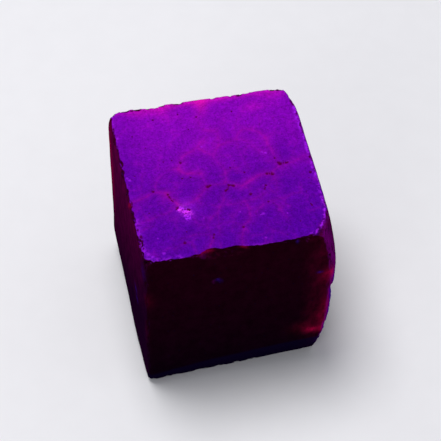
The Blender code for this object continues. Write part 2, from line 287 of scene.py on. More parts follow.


# --------------------------------------------------
# How the light takes the stone, in millimetres: plan places from the top's centre, heights from the floor

# Where the ground top is warmer or cooler, partly its own tone and partly painted light, strongest as a
# painted glow along the back rim: centre and half sizes in plan, and strength
WARMTHS = (
    ((0.3, 13.0), (0.9, 1.2), 0.55),
    ((0.2, 11.2), (0.9, 1.6), 0.2),
    ((0.0, 13.4), (13.0, 0.8), 0.55),
    ((-5.5, 12.6), (1.6, 1.0), 0.25),
    ((-8.8, 12.4), (2.2, 1.0), 0.2),
    ((-5.5, 10.5), (3.5, 1.8), 0.1),
    ((-1.8, 8.5), (1.8, 3.0), 0.1),
    ((-11.6, 10.3), (1.6, 2.0), -0.2),
    ((6.9, 10.6), (1.8, 1.3), 0.2),
    ((9.0, 10.4), (3.0, 1.6), 0.1),
    ((10.2, 12.4), (1.6, 1.0), 0.15),
    ((11.4, 5.8), (0.9, 2.2), 0.22),
    ((6.9, 3.4), (1.6, 2.0), 0.12),
    ((0.2, 4.0), (2.5, 2.5), 0.08),
    ((-5.0, 1.9), (1.4, 1.0), 0.2),
    ((-1.6, 5.2), (1.6, 1.0), 0.12),
    ((-12.0, 4.0), (2.4, 7.0), -0.28),
    ((-8.0, -1.8), (2.2, 2.6), -0.16),
    ((1.2, -1.6), (1.8, 2.2), -0.2),
    ((7.3, -2.0), (2.4, 1.8), -0.18),
    ((9.3, -4.4), (2.6, 2.4), -0.07),
    ((9.8, 2.0), (1.6, 1.6), -0.22),
    ((3.6, -0.2), (2.0, 1.0), -0.14),
    ((4.2, 2.4), (1.2, 1.4), -0.12),
    ((2.0, -11.6), (3.5, 1.5), -0.08),
    ((8.5, -11.6), (3.0, 1.5), -0.08),
    ((-10.5, -11.5), (2.0, 1.5), 0.12),
    ((0.0, -2.5), (14.0, 5.0), -0.14),
    ((3.9, -2.0), (1.2, 0.8), 0.22),
)
# Painted glow where thin edges let the light through, as red painted into the colour: centre, half sizes and
# strength
GLOWS = (
    ((12.9, -13.0, 18.7), (1.0, 1.5, 0.85), 0.6),
    ((12.2, -13.2, 17.6), (1.0, 1.5, 1.0), 0.12),
    ((12.5, -12.9, 11.6), (0.8, 1.5, 1.2), 0.28),
    ((11.8, -13.2, 9.8), (1.3, 1.5, 1.8), 0.15),
    ((12.4, -12.9, 8.2), (0.8, 1.5, 1.0), 0.2),
    ((10.6, -13.3, 6.7), (1.0, 1.5, 0.6), 0.42),
    ((11.9, -13.1, 6.4), (0.8, 2.0, 0.7), 0.3),
    ((9.4, -13.3, 7.4), (1.6, 1.5, 1.1), 0.1),
    ((13.2, 2.0, 13.0), (2.0, 9.0, 5.0), 0.16),
    ((-12.9, 12.7, 23.8), (1.5, 1.7, 1.8), 1.0),
    ((-12.9, 10.5, 18.5), (1.5, 1.6, 6.5), 0.25),
    ((-12.8, -13.1, 12.0), (0.5, 0.8, 2.5), 0.06),
    ((-12.3, -13.3, 19.0), (0.9, 1.0, 1.2), 0.06),
    ((-4.5, -12.7, 26.9), (0.7, 0.45, 0.25), 0.45),
    ((-3.7, -12.6, 26.8), (0.5, 0.4, 0.25), 0.35),
    ((0.8, -12.9, 26.9), (0.45, 0.4, 0.2), 0.3),
    ((-12.6, -2.9, 26.8), (0.4, 0.4, 0.4), 0.3),
    ((3.0, 13.3, 12.0), (9.0, 2.0, 7.0), 0.12),
)
# The way the front right corner points, in plan
CORNER_DIRECTION = (0.977, -0.213)
# Painted sheen where the sides shine a cold blue violet: centre, half sizes and strength
SIDE_SHEENS = (
    ((-2.75, -13.2, 21.1), (0.28, 1.0, 0.3), 0.8),
    ((-2.35, -13.2, 20.8), (0.25, 1.0, 0.22), 0.6),
    ((-12.8, -7.0, 14.1), (1.0, 0.7, 0.5), 0.8),
    ((-12.8, -7.6, 12.5), (1.0, 0.6, 0.45), 0.8),
    ((7.8, -13.2, 26.5), (0.15, 0.6, 0.25), 0.9),
    ((12.2, -12.8, 3.0), (1.0, 1.5, 1.2), 0.35),
    ((11.1, -13.2, 19.4), (0.4, 1.0, 0.18), 0.8),
    ((-12.8, -12.2, 24.2), (0.6, 0.8, 1.3), 0.4),
)


# --------------------------------------------------
# The skin


def soft_minimum(distances, softness):
    """The least of several reaches, rounded off where two are nearly equal: a norm of their inverses."""
    return np.sum(distances**-softness, axis=0) ** (-1.0 / softness)


def plane_reaches(directions, planes):
    """How far each direction runs from the heart before it meets each plane."""
    facing = np.array([np.maximum(directions @ normal, 1e-6) for normal, _ in planes])
    return np.array([[distance] for _, distance in planes]) / facing


def bitten(reach, directions, centre, radius, blend):
    """The reach with one ball taken out: the nearer crossing of ray and ball, blended into the skin."""
    along = directions @ centre
    discriminant = along**2 - centre @ centre + radius**2
    meets = (discriminant > 0.0) & (along > 0.0)
    entry = np.where(meets, along - np.sqrt(np.abs(discriminant)), np.inf)
    overlap = np.maximum(blend - np.abs(reach - entry), 0.0)
    return np.minimum(reach, entry) - overlap**2 / (4.0 * blend)


def swell(points):
    """A slow swell of the ground faces: the mean of three crossing sine waves."""
    waves = (((0.9, 0.5, 0.7), 0.4), ((-0.4, 1.1, 0.5), 2.1), ((0.6, -0.7, 1.2), 4.0))
    heights = [np.sin(points @ np.array(wave) / WAVE_STEP + phase) for wave, phase in waves]
    return WAVE_HEIGHT * np.mean(heights, axis=0)


def ground_reach(directions):
    """The reach of the ground planes alone, and each plane's share in it.

    The side planes meet in a soft minimum and swell, and that meets the level and worn planes in another.
    A plane's share is its part of the sum inside the soft minimum.
    """
    side_reaches = plane_reaches(directions, SIDE_PLANES)
    sides = soft_minimum(side_reaches, CORNER_SOFTNESS)
    sides_waved = sides + swell(directions * sides[:, None])
    level_reaches = plane_reaches(directions, (*LEVEL_PLANES, *WORN_PLANES))
    reach = soft_minimum(np.vstack((sides_waved, level_reaches)), RIM_SOFTNESS)
    side_shares = (side_reaches / sides) ** -CORNER_SOFTNESS * (sides_waved / reach) ** -RIM_SOFTNESS
    level_shares = (level_reaches / reach) ** -RIM_SOFTNESS
    return reach, np.vstack((side_shares, level_shares))


def chipped(reach, directions, roughness):
    """The reach with the block's named chips taken out, each bitten by a ball of uneven radius."""
    for point, outward, radius, depth in CHIPS:
        outward = np.array(outward) / np.linalg.norm(outward)
        centre = np.array(point) + outward * (radius - depth) - HEART
        reach = bitten(reach, directions, centre, radius + roughness, CHIP_BLEND)
    return reach


def box_directions(counts, crowding):
    """Unit directions from the heart and the quads between them, from a box skin cut into cells.

    Each of the six faces is a grid over two whole numbers. A corner is known by its three whole numbers on
    the box, so faces share the points of their common edges. Crowding pulls grid lines towards the edges.
    """
    faces = []
    for axis in range(3):
        across, up = (axis + 1) % 3, (axis + 2) % 3
        column, row = (grid.ravel()[:, None] for grid in np.indices((counts[across], counts[up])))
        for side in (0, counts[axis]):
            corners = np.empty((column.size, 4, 3), int)
            corners[..., axis] = side
            corners[..., across] = column + (0, 1, 1, 0)
            corners[..., up] = row + (0, 0, 1, 1)
            faces.append(corners if side else corners[:, ::-1])
    corners = np.concatenate(faces).reshape(-1, 3)
    unique, quads = np.unique(corners, axis=0, return_inverse=True)
    grid = 2.0 * unique / counts - 1.0
    grid += crowding * (np.sin(grid * np.pi / 2) - grid)
    rays = grid * (WIDTH, DEPTH, HEIGHT)
    return rays / np.linalg.norm(rays, axis=1)[:, None], quads.reshape(-1, 4)


def lattice_noise(points, step, seed):
    """Smooth noise from -1 to 1: random values on a cubic lattice, with a smooth step between them."""
    size = 64
    values = np.random.default_rng(seed).uniform(-1.0, 1.0, (size, size, size))
    place = points / step + size / 2
    cell = np.floor(place).astype(int)
    share = place - cell
    share = share * share * (3.0 - 2.0 * share)
    total = np.zeros(len(points))
    for corner in np.ndindex(2, 2, 2):
        weight = np.prod(np.where(corner, share, 1.0 - share), axis=1)
        total += weight * values[tuple(((cell + corner) % size).T)]
    return total


def layered_noise(points, step, seed, layers=3, gain=0.5):
    """Noise over noise: each layer has half the step of the last and a smaller share of its height."""
    shares = [gain**layer for layer in range(layers)]
    heights = [
        share * lattice_noise(points, step * 0.5**layer, seed + layer) for layer, share in enumerate(shares)
    ]
    return np.sum(heights, axis=0) / sum(shares)


def smooth_step(values, low, high):
    """0 at low and 1 at high, with a soft start and end."""
    share = np.clip((values - low) / (high - low), 0.0, 1.0)
    return share * share * (3.0 - 2.0 * share)


# --------------------------------------------------
# Distances in the plan of the top, in millimetres


def rounded_line(points):
    """A line with its corners cut: each stretch is replaced by its first and third quarter points."""
    points = np.array(points)
    quarter = 0.75 * points[:-1] + 0.25 * points[1:]
    three_quarter = 0.25 * points[:-1] + 0.75 * points[1:]
    between = np.stack((quarter, three_quarter), axis=1).reshape(-1, 2)
    return np.vstack((points[:1], between, points[-1:]))


def line_distance(plan, line):
    """The distance of each plan point from the nearest stretch of a line."""
    nearest = np.full(len(plan), np.inf)
    for start, end in zip(line[:-1], line[1:]):
        run = end - start
        share = np.clip((plan - start) @ run / (run @ run), 0.0, 1.0)
        gap = plan - start - share[:, None] * run
        nearest = np.minimum(nearest, np.einsum("ij,ij->i", gap, gap))
    return np.sqrt(nearest)


def spot_offset(plan, spots):
    """The way from the nearest spot's centre to each plan point, with that spot's half width as one."""
    centres, halves = np.array(spots)[:, :2], np.array(spots)[:, 2]
    offsets = (plan[:, None] - centres) / halves[:, None]
    nearest = np.argmin(np.hypot(offsets[..., 0], offsets[..., 1]), axis=1)
    return offsets[np.arange(len(plan)), nearest]


def bruise_depth(plan):
    """The depth of the bruise, the deepest of its egg-shaped bowls, and how far inside it a point lies."""
    depth, share = np.zeros(len(plan)), np.zeros(len(plan))
    for centre, (along, across), turn, deepest in BRUISE:
        angle = np.radians(turn)
        turned = np.array(((np.cos(angle), -np.sin(angle)), (np.sin(angle), np.cos(angle))))
        local = (plan - centre) @ turned
        bowl = 1.0 - (local[:, 0] / along) ** 2 - (local[:, 1] / across) ** 2
        depth = np.maximum(depth, deepest * np.sqrt(np.maximum(bowl, 0.0)))
        share = np.maximum(share, smooth_step(bowl, -0.4, 0.9))
    return depth, share


def blobs(places, centres_sizes_strengths):
    """The sum of soft egg-shaped blobs at each place."""
    heights = [
        strength * np.exp(-np.sum(((places - at) / size) ** 2, axis=1))
        for at, size, strength in centres_sizes_strengths
    ]
    return np.sum(heights, axis=0)


# --------------------------------------------------
# Shader expressions


def arithmetic(operation):
    """A method that adds one Math node."""

    def method(self, other):
        return self.math(operation, other)

    return method


class Value:
    """A socket that carries a number. Sums, products and the like add their Math nodes."""

    def __init__(self, tree, socket):
        self.tree = tree
        self.socket = socket

    def math(self, operation, *others):
        operands = dict(enumerate((self, *others)))
        node = add_node(self.tree, "ShaderNodeMath", {"operation": operation}, operands)
        return Value(self.tree, node.outputs[0])

    __add__ = __radd__ = arithmetic("ADD")
    __sub__ = arithmetic("SUBTRACT")
    __mul__ = __rmul__ = arithmetic("MULTIPLY")
    __truediv__ = arithmetic("DIVIDE")
    maximum = arithmetic("MAXIMUM")

    def __rsub__(self, other):
        return self * -1.0 + other

    def clamped(self):
        return self.math("MAXIMUM", 0.0).math("MINIMUM", 1.0)

    def ramp(self, low, high):
        """A smooth step from 0 at low to 1 at high, where low may be the greater."""
        sockets = {"Value": self, "From Min": low, "From Max": high}
        node = add_node(self.tree, "ShaderNodeMapRange", {"interpolation_type": "SMOOTHSTEP"}, sockets)
        return Value(self.tree, node.outputs[0])

    def bell(self, width):
        """1 at 0, falling to a third at the given width."""
        ratio = self / width
        return (ratio * ratio * -1.0).math("EXPONENT")


def add_node(tree, kind, settings, sockets):
    """A node with its settings made first, then its sockets set to values or linked."""
    node = tree.nodes.new(kind)
    for name, value in settings.items():
        setattr(node, name, value)
    for name, value in sockets.items():
        if isinstance(value, Value):
            tree.links.new(value.socket, node.inputs[name])
        elif isinstance(value, bpy.types.NodeSocket):
            tree.links.new(value, node.inputs[name])
        else:
            node.inputs[name].default_value = value
    return node


class Shader:
    """A material's node tree, with short ways to its patterns."""

    def __init__(self, name):
        self.material = bpy.data.materials.new(name)
        self.material.use_nodes = True
        self.tree = self.material.node_tree
        self.surface = self.tree.nodes["Principled BSDF"]
        self.place = self.node("ShaderNodeTexCoord").outputs["Object"]

    def node(self, kind, settings=None, sockets=None):
        return add_node(self.tree, kind, settings or {}, sockets or {})

    def value(self, socket):
        return Value(self.tree, socket)

    def attribute(self, name):
        return self.value(self.node("ShaderNodeAttribute", {"attribute_name": name}).outputs["Fac"])

    def vector(self, operation, *operands):
        """The vector that one operation makes of others."""
        node = self.node("ShaderNodeVectorMath", {"operation": operation}, dict(enumerate(operands)))
        return node.outputs[0]

    def noise(self, size, detail=2.0, roughness=0.5, squeeze=None):
        """Noise from 0 to 1 with patches of about the given size, squeezed along the axes when asked."""
        place = self.vector("MULTIPLY", self.place, squeeze) if squeeze else self.place
        sockets = {"Vector": place, "Scale": 1.0 / size, "Detail": detail, "Roughness": roughness}
        return self.value(self.node("ShaderNodeTexNoise", {}, sockets).outputs["Fac"])

    def triple_noise(self, size):
        """Three noises in one vector, each from 0 to 1."""
        sockets = {"Vector": self.place, "Scale": 1.0 / size, "Detail": 2.0}
        return self.node("ShaderNodeTexNoise", {}, sockets).outputs["Color"]

    def cracks(self, size, bend):
        """The distance from the nearest border between grains of about the given size, in parts of it."""
        bent = self.vector("MULTIPLY_ADD", self.triple_noise(size / 1.3), (bend,) * 3, self.place)
        sockets = {"Vector": bent, "Scale": 1.0 / size}
        grains = self.node("ShaderNodeTexVoronoi", {"feature": "DISTANCE_TO_EDGE"}, sockets)
        return self.value(grains.outputs["Distance"])

    def dots(self, spacing, radius, share):
        """1 in small round dots: one cell in a few holds one, with its radius in parts of the spacing."""
        cells = self.node("ShaderNodeTexVoronoi", {}, {"Vector": self.place, "Scale": 1.0 / spacing})
        draw = self.node("ShaderNodeSeparateColor", {}, {"Color": cells.outputs["Color"]}).outputs[0]
        chosen = self.value(draw).ramp(1.0 - share, 1.01 - share)
        return self.value(cells.outputs["Distance"]).ramp(1.4 * radius, 0.7 * radius) * chosen

    def spot(self, name, raggedness):
        """How far a point lies from the nearest spot of a kind, in half widths, with a ragged outline."""
        offset = self.node("ShaderNodeAttribute", {"attribute_name": name + "_offset"}).outputs["Vector"]
        push = self.vector("SUBTRACT", self.triple_noise(0.25 * MM), (0.5,) * 3)
        pushed = self.vector("MULTIPLY_ADD", push, (raggedness,) * 3, offset)
        length = self.node("ShaderNodeVectorMath", {"operation": "LENGTH"}, {0: pushed}).outputs["Value"]
        return self.value(length).maximum(self.attribute(name + "_gap") - 1.2)

    def mix(self, share, colour_a, colour_b):
        """From the first colour to the second, as share goes from 0 to 1."""
        node = self.node("ShaderNodeMix", {"data_type": "RGBA"}, {0: share, 6: colour_a, 7: colour_b})
        return node.outputs[2]

    def scaled(self, colour, factor):
        """A colour made lighter or darker by a factor that varies."""
        colour = colour[:3] if isinstance(colour, tuple) else colour
        node = self.node("ShaderNodeVectorMath", {"operation": "SCALE"}, {0: colour, 3: factor})
        return node.outputs[0]


def srgb(red, green, blue):
    """A display colour, given from 0 to 255, as the linear colour that shaders take."""
    shares = np.array((red, green, blue)) / 255.0
    linear = np.where(shares <= 0.04045, shares / 12.92, ((shares + 0.055) / 1.055) ** 2.4)
    return tuple(float(share) for share in linear)


# --------------------------------------------------
# Settings


def colour_setting(name, description, red, green, blue):
    return FloatVectorProperty(
        name=name, description=description, subtype="COLOR", size=3, min=0.0, max=1.0,
        default=srgb(red, green, blue),
    )


def number_setting(name, description, default, **limits):
    return FloatProperty(name=name, description=description, default=default, **limits)


def count_setting(name, description, default, least):
    return IntProperty(name=name, description=description, default=default, min=least)


def length_setting(name, description, default):
    return number_setting(name, description, default, subtype="DISTANCE", unit="LENGTH")


def angle_setting(name, description, degrees):
    return number_setting(name, description, np.radians(degrees), subtype="ANGLE", unit="ROTATION")


class RubyBlockSettings(bpy.types.PropertyGroup):
    cells_across: count_setting("Cells across", "Grid cells along a horizontal edge", 150, least=20)
    cells_up: count_setting("Cells up", "Grid cells along an upright edge", 88, least=20)
    crowding: number_setting("Crowding", "How far grid lines are drawn to the edges", 0.4, min=0.0, max=0.9)
    lump_height: length_setting("Lump height", "Unevenness of the sawn sides", 0.11 * MM)
    crumble_depth: length_setting("Crumble depth", "Raggedness of the edges", 0.55 * MM)
    chip_roughness: length_setting("Chip roughness", "Unevenness of the large chips", 0.26 * MM)
    nick_count: count_setting("Nicks", "Small chips along the edges of the block", 320, least=0)
    nick_depth: length_setting("Nick depth", "Depth of the deepest small chip", 0.14 * MM)


class RubyColourSettings(bpy.types.PropertyGroup):
    # The ground top's colours are painted light: violet as lit from above by a violet lamp, with magenta and
    # the back rim's glow lighter and warmer towards the back
    violet: colour_setting("Violet", "Front of the ground top", 82, 1, 151)
    magenta: colour_setting("Magenta", "Back of the ground top", 130, 5, 176)
    back_glow: colour_setting("Back rim", "Warmest places, at the back rim of the top", 215, 16, 175)
    vein: colour_setting("Vein", "Veins of the top", 172, 12, 152)
    pit: colour_setting("Pit", "Floor of the pits", 84, 0, 53)
    # Lilac of painted highlights: flecks, glints along the rims and the lit crushed stone of the bruise
    lilac_glint: colour_setting("Fleck", "Crystal flecks and worn rims", 168, 30, 240)
    # Painted highlight at the brightest places of the bruise
    bruise: colour_setting("Bruise", "Crushed stone in the bruise", 235, 62, 255)
    # The sides' colours are painted shade, out of the light from above: darker towards the foot, the left
    # flank lighter under the rim
    side: colour_setting("Side", "Sawn sides under the rim", 32, 1, 15)
    side_low: colour_setting("Low side", "Sawn sides near the foot", 11, 1, 13)
    flank: colour_setting("Flank", "Left side, at the back under the rim", 73, 1, 51)
    flank_low: colour_setting("Low flank", "Left side, near the foot", 26, 1, 29)
    worn_red: colour_setting("Worn red", "Red of broken stone", 84, 2, 48)
    worn: colour_setting("Worn stone", "Violet of broken stone", 102, 8, 112)
    wine: colour_setting("Wine", "Right end of the front", 82, 1, 34)
    # Band and sheen: painted sheen of the front right corner, colder along its crest
    band: colour_setting("Band", "Corner of the front and right side", 112, 2, 112)
    sheen: colour_setting("Sheen", "Cold violet along the crest of that corner", 72, 2, 150)
    # Painted sheen of cold blue violet on the sides
    cold_sheen: colour_setting("Cold fleck", "Blue violet flecks of the sides", 46, 12, 120)
    # Red painted glow of thin edges
    glow: colour_setting("Glow", "Thin edges, where the red shows through", 190, 4, 70)
    foot: colour_setting("Foot", "Bevel at the foot", 12, 4, 34)


class RubyStageSettings(bpy.types.PropertyGroup):
    azimuth: angle_setting("Azimuth", "Where the camera stands round the block", -12.3)
    elevation: angle_setting("Elevation", "Height of the camera above the horizon", 50.9)
    roll: angle_setting("Roll", "Tilt of the camera to its side", 0.5)
    distance: length_setting("Distance", "Camera to block", 276.0 * MM)
    lens: number_setting("Lens", "Focal length in millimetres", 163.5, min=20.0)
    floor_size: length_setting("Floor size", "Edge of the floor", 3.0)
    floor_colour: colour_setting("Floor", "Pale floor", 238, 237, 240)
    key_power: number_setting("Key power", "Soft light from above, in watts", 1.25)
    fill_power: number_setting("Fill power", "Soft light from the front left, in watts", 0.35)
    air: number_setting("Air", "Strength of the light from all round", 0.35, min=0.0)


# --------------------------------------------------
# The block


def rim_nicks(count, deepest, seed=7):
    """Balls that bite small chips out of the edges: centres from the heart, and radii.

    A place is drawn on a random edge of a box: two of its three coordinates are at an end, and the third
    is anywhere. A little scatter keeps the places off the exact edge. The ground reach puts them on the
    skin, and the ball stands outside it by its radius, less the chip's depth.
    """
    draw = np.random.default_rng(seed)
    ends = draw.choice((-1.0, 1.0), (count, 3))
    free = draw.integers(0, 3, count)
    ends[np.arange(count), free] = draw.uniform(-1.0, 1.0, count)
    ends += draw.normal(0.0, NICK_SCATTER, (count, 3))
    directions = ends * (WIDTH, DEPTH, HEIGHT)
    directions /= np.linalg.norm(directions, axis=1)[:, None]
    reach, _ = ground_reach(directions)
    depths = deepest * draw.uniform(LEAST_NICK, 1.0, count) ** 2
    radii = draw.uniform(*NICK_RADII, count) * MM
    outward = directions + draw.normal(0.0, 0.15, (count, 3))
    outward /= np.linalg.norm(outward, axis=1)[:, None]
    return directions * reach[:, None] + outward * (radii - depths)[:, None], radii


def spot_marks(name, plan, spots):
    """Two attributes of a kind of spot: its offset, which stays exact between points, and its length."""
    offset = spot_offset(plan, spots)
    gap = np.hypot(offset[:, 0], offset[:, 1])
    return {name + "_offset": np.column_stack((offset, 0.0 * gap)), name + "_gap": gap}, gap


def line_marks(plan):
    """Attributes of the lines in the top: the gap to the nearest vein, its halo, and the rims' painted
    highlights.
    """
    gap = np.full(len(plan), np.inf)
    halo = np.zeros(len(plan))
    light = np.zeros(len(plan))
    for strength, line in VEINS:
        distance = line_distance(plan, rounded_line(line))
        gap = np.minimum(gap, distance + FAINT_VEIN_GAP * (1.0 - strength))
        halo = np.maximum(halo, strength * np.exp(-((distance / VEIN_HALO) ** 2)))
    for strength, width, line in RIM_LINES:
        distance = line_distance(plan, rounded_line(line))
        light = np.maximum(light, strength * np.exp(-((distance / width) ** 2)))
    return {"vein_gap": gap, "vein_halo": halo, "rim_light": light}


def top_marks(points):
    """Attributes of the top: its lines, pits, painted highlight flecks and bruise. Also how deep it is
    hollow.
    """
    plan = points[:, :2] / MM
    wander = np.stack([layered_noise(points, 1.3 * MM, seed, gain=0.6) for seed in (21, 31)], axis=1)
    wandered = plan + WANDER * wander
    marks = line_marks(wandered)
    pit_marks, pit_gap = spot_marks("pit", plan, PITS + BRUISE_SPOTS)
    glint_marks, _ = spot_marks("lilac_glint", plan, GLINT_FLECKS)
    bruise, marks["bruise"] = bruise_depth(plan + 0.6 * wander * WANDER)
    marks["bruise_light"] = blobs(wandered, BRUISE_LIGHTS)
    marks["bruise_halo"] = blobs(wandered, BRUISE_HALO)
    hollow = bruise * (0.75 + 0.6 * layered_noise(points, 0.5 * MM, seed=41))
    hollow += PIT_DEPTH * np.sqrt(np.maximum(1.0 - pit_gap**2, 0.0))
    hollow += VEIN_DEPTH * np.exp(-((marks["vein_gap"] / VEIN_WIDTH) ** 2))
    return {**marks, **pit_marks, **glint_marks}, hollow * MM


def skin_normals(points, quads):
    """The skin's normal at each point: the mean of the crossed diagonals of the quads round it."""
    corners = points[quads]
    crossed = np.cross(corners[:, 2] - corners[:, 0], corners[:, 3] - corners[:, 1])
    normals = [np.bincount(quads.ravel(), np.repeat(crossed[:, axis], 4), len(points)) for axis in range(3)]
    normals = np.stack(normals, axis=1)
    return normals / np.linalg.norm(normals, axis=1)[:, None]


def front_dent(points):
    """How deep the dent in the front face reaches: an egg-shaped bowl over the face's own plane."""
    centre, half_sizes, depth = (np.array(value) for value in FRONT_DENT)
    bowl = 1.0 - np.sum(((points - centre) / half_sizes) ** 2, axis=1)
    return depth * np.sqrt(np.maximum(bowl, 0.0))


def crumbled(points, normals, deepest):
    """How deep the edges have crumbled: a fine noise where the skin turns from one face to the next.

    The wear that scales it comes in patches, and is most at the left and front rims and least at the top's
    rear rims.
    """
    turned = 1.0 - np.max(np.abs(normals), axis=1)
    crumbs = layered_noise(points, 0.8 * MM, seed=61, layers=4, gain=0.65)
    left_or_front = np.maximum(points[:, 0] / LEFT, points[:, 1] / FRONT)
    rear_rims = smooth_step(points[:, 1] / MM, -2.5, 0.5) * smooth_step(points[:, 2] / TOP, 0.8, 0.9)
    worn = 0.25 + 0.9 * smooth_step(layered_noise(points, 2.6 * MM, seed=71, layers=2), -0.1, 0.5)
    worn += 0.8 * smooth_step(left_or_front, 0.6, 0.9)
    worn *= 1.0 - 0.7 * rear_rims
    return smooth_step(turned, 0.005, 0.1) * worn * deepest * np.maximum(crumbs - 0.03, 0.0)


def relief_height(points, normals, hollow, settings):
    """How far each point stands out: lumps and grit, less the top's hollows, the dent and the crumble.

    The top is ground flatter than the sides, so its lumps and grit are lower.
    """
    side = 1.0 - smooth_step(np.abs(normals[:, 2]), 0.7, 0.97)
    lumps = layered_noise(points, 4.5 * MM, seed=3, layers=4, gain=0.45)
    grit = layered_noise(points, 0.5 * MM, seed=13, layers=2)
    relief = side * (settings.lump_height * lumps + GRIT_HEIGHT * grit)
    relief += smooth_step(normals[:, 2], 0.5, 0.9) * (TOP_LUMP_HEIGHT * lumps + TOP_GRIT_HEIGHT * grit)
    relief -= smooth_step(normals[:, 2], 0.9, 0.99) * hollow
    relief -= front_dent(points)
    relief -= crumbled(points, normals, settings.crumble_depth)
    return relief


def block_surface(settings):
    """Points, quads and attributes of the block.

    The reach gives the skin, first of the ground planes and then with chips and nicks bitten out of it. A
    point's ground normal is the plane normals' mean, weighted by their shares, and the relief moves it
    along that normal.
    """
    counts = np.array((settings.cells_across, settings.cells_across, settings.cells_up))
    directions, quads = box_directions(counts, settings.crowding)
    whole, shares = ground_reach(directions)
    planes = (*SIDE_PLANES, *LEVEL_PLANES, *WORN_PLANES)
    normals = shares.T @ np.array([normal / distance for normal, distance in planes])
    normals /= np.linalg.norm(normals, axis=1)[:, None]

    skin = directions * whole[:, None]
    chip_grain = layered_noise(skin, 1.1 * MM, seed=81, layers=4, gain=0.7)
    reach = chipped(whole, directions, settings.chip_roughness * chip_grain)
    ragged = 1.0 + 0.16 * layered_noise(skin, 0.35 * MM, seed=51, layers=2)
    for centre, radius in zip(*rim_nicks(settings.nick_count, settings.nick_depth)):
        reach = bitten(reach, directions, centre, radius * ragged, NICK_BLEND)
    points = HEART + directions * reach[:, None]

    marks, hollow = top_marks(points)
    points += normals * relief_height(points, normals, hollow, settings)[:, None]
    steep_break, flat_break = shares[-2:]
    bitten_off = smooth_step((whole - reach) / MM, 0.03, 0.16)
    marks["broken"] = np.minimum(smooth_step(flat_break, 0.5, 0.95) + 0.6 * steep_break + bitten_off, 1.0)
    marks.update(light_marks(points, skin_normals(points, quads)))

    middle = (points.min(axis=0) + points.max(axis=0)) / 2
    shift = (BOX_LOW + BOX_HIGH) / 2 - middle
    shift[2] = BOX_LOW[2] - points[:, 2].min()
    return points + shift, quads, marks


def inside_corner(places):
    """How far each place lies inside the crest of the front right corner.

    The crest is where a place lies furthest out at its height, measured along the corner's own direction.
    """
    levels, step = 56, 0.5
    reach = places[:, :2] @ np.array(CORNER_DIRECTION)
    level = np.clip((places[:, 2] / step).astype(int), 0, levels - 1)
    furthest = np.full(levels, -np.inf)
    np.maximum.at(furthest, level, reach)
    return np.interp(places[:, 2], step * (np.arange(levels) + 0.5), furthest) - reach


def light_marks(points, normals):
    """How each place takes the light that is painted into the colours: the ways it faces, its warmth and
    painted glow, the corner's painted sheen and flecks of cold painted sheen; also the foot.
    """
    places = points / MM
    x, y, z = places.T
    away = smooth_step(y, -12.6, -10.0)
    inside = inside_corner(places)
    # Painted sheen: the band grows lighter towards the crest of the front right corner
    brighter = 0.55 + 0.85 * (1.0 - smooth_step(inside, 0.2, 1.1))
    # The bevel at the front foot rises to the right, from 0 to 1 along the face
    along = 0.5 + 0.5 * x / (RIGHT / MM)
    bevel_height = 1.8 + 5.9 * along - 3.3 * along**2
    front = smooth_step(-normals[:, 1], 0.2, 0.5)
    return {
        "upness": normals[:, 2],
        "leftness": smooth_step(-normals[:, 0], 0.65, 0.9),
        "band": smooth_step(normals[:, 0], 0.1, 0.7) * (1.0 - away) * brighter,
        "crest": (1.0 - smooth_step(inside, 0.12, 0.42)) * (1.0 - smooth_step(y, -12.9, -11.0)),
        "rearness": smooth_step(np.maximum(normals[:, 0] * away, normals[:, 1]), 0.3, 0.8),
        "warmth": blobs(places[:, :2], WARMTHS),
        "glow": blobs(places, GLOWS),
        "side_fleck": blobs(places, SIDE_SHEENS),
        "foot": smooth_step(bevel_height - z, -0.25, 0.35) * front,
    }


def new_piece(name, points, quads, marks):
    """A mesh object with attributes at its points, numbers or vectors."""
    mesh = bpy.data.meshes.new(name)
    mesh.vertices.add(len(points))
    mesh.vertices.foreach_set("co", points.astype(np.float32).ravel())
    mesh.loops.add(quads.size)
    mesh.loops.foreach_set("vertex_index", quads.astype(np.int32).ravel())
    mesh.polygons.add(len(quads))
    mesh.polygons.foreach_set("loop_start", np.arange(0, quads.size, 4, dtype=np.int32))
    for mark, values in marks.items():
        is_vector = values.ndim == 2
        attribute = mesh.attributes.new(mark, "FLOAT_VECTOR" if is_vector else "FLOAT", "POINT")
        attribute.data.foreach_set("vector" if is_vector else "value", values.astype(np.float32).ravel())
    mesh.update(calc_edges=True)
    mesh.validate()
    mesh.shade_smooth()
    piece = bpy.data.objects.new(name, mesh)
    bpy.context.scene.collection.objects.link(piece)
    return piece


# --------------------------------------------------
# The colours of the block, and the operator that makes it


# The stone's noises: patch size, detail and roughness, and the squeeze of those that run upwards
NOISES = {
    "drift": (8.0 * MM, 2.0),
    "cloud": (2.2 * MM, 3.0, 0.6),
    "mottle": (1.4 * MM, 4.0, 0.62),
    "streak": (1.1 * MM, 3.0, 0.6, (1.0, 1.0, 0.55)),
    "fading": (1.1 * MM, 2.0),
    "dapple": (0.55 * MM, 3.0, 0.6),
    "waver": (0.45 * MM, 2.0),
    "glitter": (0.4 * MM, 3.0),
    "crushed": (0.3 * MM, 2.0, 0.6),
    "speck": (0.22 * MM, 2.0, 0.7),
    "fine": (0.14 * MM, 3.0, 0.7),
}
# The mesh's attributes that the colours follow
MARKS = (
    "upness", "leftness", "rearness", "warmth", "vein_gap", "vein_halo", "bruise", "bruise_halo",
    "bruise_light", "band", "crest", "glow", "foot", "side_fleck", "broken", "rim_light",
)


